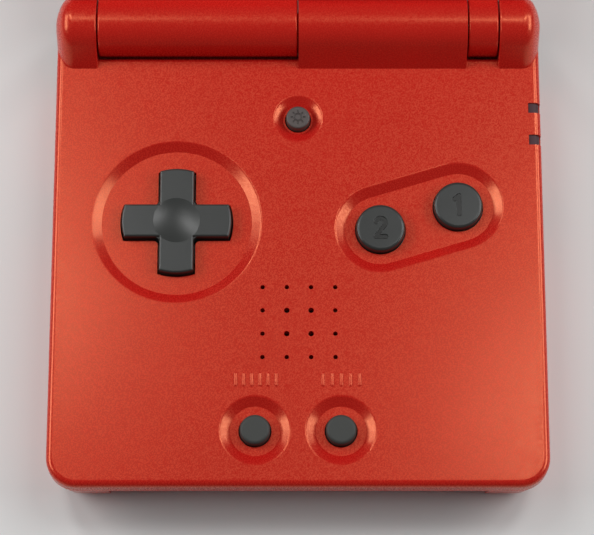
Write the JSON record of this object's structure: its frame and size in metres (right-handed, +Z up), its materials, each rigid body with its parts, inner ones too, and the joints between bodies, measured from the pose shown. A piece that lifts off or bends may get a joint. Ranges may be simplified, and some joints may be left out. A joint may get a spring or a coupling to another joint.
{
  "type": "clamshell handheld console",
  "caption": "Handheld console with a hinged lid: control face with a direction pad and round buttons, a barrel hinge, and a screen in the lid.",
  "frame": {"origin": "centre of the base's rest face", "axes": "+X to the player's right, +Y from the front edge to the hinge, +Z up"},
  "size_m": [0.083, 0.1487, 0.0607],
  "materials": {
    "red_shell": "satin metallic red paint on moulded plastic",
    "grey_key": "satin dark grey",
    "grey_rubber": "matt dark grey rubber",
    "black_plastic": "black",
    "steel": "bright",
    "gold_spring": "gold plated",
    "board_green": "satin",
    "black_lens": "clear lens with a black printed border",
    "panel_glass": "grey-green display",
    "clear_guide": "clear",
    "film_cable": "amber film",
    "dark_window": "dark tinted window",
    "cream_plastic": "cream"
  },
  "bodies": {
    "base": {"base_upper_shell": "red_shell", "base_lower_shell": "red_shell", "battery_cover": "red_shell", "pad_membrane": "grey_rubber", "action_membrane": "grey_rubber", "small_membrane": "grey_rubber", "battery_pack": "black_plastic", "cartridge_connector": "black_plastic", "speaker": "black_plastic", "light_switch": "black_plastic", "left_shoulder_switch": "black_plastic", "right_shoulder_switch": "black_plastic", "link_port": "black_plastic", "charge_port": "black_plastic", "battery_cover_screw": "steel", "left_shoulder_pin": "steel", "right_shoulder_pin": "steel", "left_shoulder_spring": "steel", "right_shoulder_spring": "steel", "power_switch": "steel", "volume_wheel_case": "steel", "hinge_clutch_case": "steel", "hinge_pin": "steel", "case_screws": "steel", "battery_contacts": "gold_spring", "main_board": "board_green", "cable_tail": "film_cable", "rear_light_window": "dark_window", "front_light_window": "dark_window", "cable_connector": "cream_plastic"},
    "lid": {"lid_inner_frame": "red_shell", "lid_outer_shell": "red_shell", "screen_lens": "black_lens", "display_panel": "panel_glass", "light_guide": "clear_guide", "display_gasket": "black_plastic", "lid_screws": "steel", "lid_screw_covers": "grey_rubber", "hinge_clutch_shaft": "steel", "cable_roll": "film_cable"},
    "pad_pivot": {"rocking_ball": "steel"},
    "pad": {"direction_pad": "grey_key"},
    "left_action": {"left_action_button": "grey_key"},
    "right_action": {"right_action_button": "grey_key"},
    "left_small": {"left_small_button": "grey_rubber"},
    "right_small": {"right_small_button": "grey_rubber"},
    "light_key": {"light_button": "grey_key"},
    "left_shoulder": {"left_shoulder_button": "black_plastic"},
    "right_shoulder": {"right_shoulder_button": "black_plastic"},
    "power_slider": {"power_knob": "black_plastic"},
    "volume_slider": {"volume_knob": "black_plastic"}
  },
  "joints": [
    {"name": "lid_hinge", "type": "hinge", "parent": "base", "child": "lid", "pos_m": [0, 0.03715, 0.015], "axis": [-1, 0, 0], "range_deg": [-145, 35]},
    {"name": "pad_tilt_front_back", "type": "hinge", "parent": "base", "child": "pad_pivot", "pos_m": [-0.02025, 0.0029, 0.0098], "axis": [1, 0, 0], "range_deg": [-3, 3], "stiffness_Nm_per_rad": 0.05},
    {"name": "pad_tilt_left_right", "type": "hinge", "parent": "pad_pivot", "child": "pad", "pos_m": [-0.02025, 0.0029, 0.0098], "axis": [0, 1, 0], "range_deg": [-3, 3], "stiffness_Nm_per_rad": 0.05},
    {"name": "left_action_press", "type": "slide", "parent": "base", "child": "left_action", "axis": [0, 0, -1], "range_m": [0, 0.0008], "stiffness_N_per_m": 800, "springref_m": -0.0003},
    {"name": "right_action_press", "type": "slide", "parent": "base", "child": "right_action", "axis": [0, 0, -1], "range_m": [0, 0.0008], "stiffness_N_per_m": 800, "springref_m": -0.0003},
    {"name": "left_small_press", "type": "slide", "parent": "base", "child": "left_small", "axis": [0, 0, -1], "range_m": [0, 0.0006], "stiffness_N_per_m": 800, "springref_m": -0.0003},
    {"name": "right_small_press", "type": "slide", "parent": "base", "child": "right_small", "axis": [0, 0, -1], "range_m": [0, 0.0006], "stiffness_N_per_m": 800, "springref_m": -0.0003},
    {"name": "light_press", "type": "slide", "parent": "base", "child": "light_key", "axis": [0, 0, -1], "range_m": [0, 0.0006], "stiffness_N_per_m": 800, "springref_m": -0.0003},
    {"name": "left_shoulder_press", "type": "hinge", "parent": "base", "child": "left_shoulder", "pos_m": [-0.0227, 0.0396, 0.0056], "axis": [0, 0, 1], "range_deg": [0, 2.5], "stiffness_Nm_per_rad": 0.1, "springref_deg": -1.72},
    {"name": "right_shoulder_press", "type": "hinge", "parent": "base", "child": "right_shoulder", "pos_m": [0.0227, 0.0396, 0.0056], "axis": [0, 0, -1], "range_deg": [0, 2.5], "stiffness_Nm_per_rad": 0.1, "springref_deg": -1.72},
    {"name": "power_slide", "type": "slide", "parent": "base", "child": "power_slider", "axis": [0, 1, 0], "range_m": [0, 0.0025]},
    {"name": "volume_slide", "type": "slide", "parent": "base", "child": "volume_slider", "axis": [0, 1, 0], "range_m": [-0.00275, 0.00275]}
  ]
}
